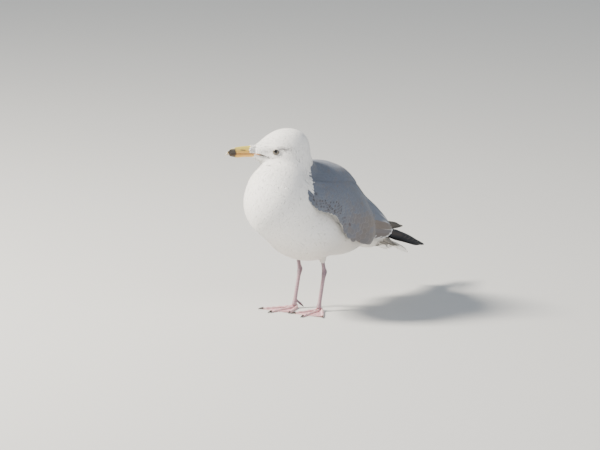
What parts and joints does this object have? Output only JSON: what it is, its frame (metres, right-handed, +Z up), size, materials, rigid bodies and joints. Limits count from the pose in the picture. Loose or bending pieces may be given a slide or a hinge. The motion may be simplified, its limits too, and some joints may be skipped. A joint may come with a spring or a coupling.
{
  "type": "herring gull",
  "caption": "Life-size herring gull in near-adult plumage, standing with wings folded, head turned to its right and webbed feet flat on the floor.",
  "frame": {"origin": "the floor under the middle of the bird's bounding box", "axes": "+Z up; the body points to -Y with the bird's left side at +X, so the tail and wing tips reach to +Y"},
  "size_m": [0.1409, 0.4497, 0.3104],
  "materials": {
    "plumage_white": "soft, matt",
    "plumage_grey": "soft, matt, brown-flecked",
    "plumage_black": "silky, near-black",
    "horn_bill": "horn, satin",
    "horn_claw": "horn, satin",
    "eye": "wet, glossy",
    "leg_skin": "scaled skin, satin"
  },
  "bodies": {
    "root": {"head": "plumage_white", "neck": "plumage_white", "trunk": "plumage_white", "tail": "plumage_white", "bill_upper": "horn_bill", "bill_lower": "horn_bill", "eye_left": "eye", "eye_right": "eye", "wing_left_coverts": "plumage_grey", "wing_left_tertials": "plumage_grey", "wing_left_primaries": "plumage_black", "thigh_left": "plumage_white", "shank_left": "leg_skin", "foot_left": "leg_skin", "toe_hind_left": "leg_skin", "claw_inner_left": "horn_claw", "claw_middle_left": "horn_claw", "claw_outer_left": "horn_claw", "claw_hind_left": "horn_claw", "wing_right_coverts": "plumage_grey", "wing_right_tertials": "plumage_grey", "wing_right_primaries": "plumage_black", "thigh_right": "plumage_white", "shank_right": "leg_skin", "foot_right": "leg_skin", "toe_hind_right": "leg_skin", "claw_inner_right": "horn_claw", "claw_middle_right": "horn_claw", "claw_outer_right": "horn_claw", "claw_hind_right": "horn_claw"}
  },
  "joints": []
}
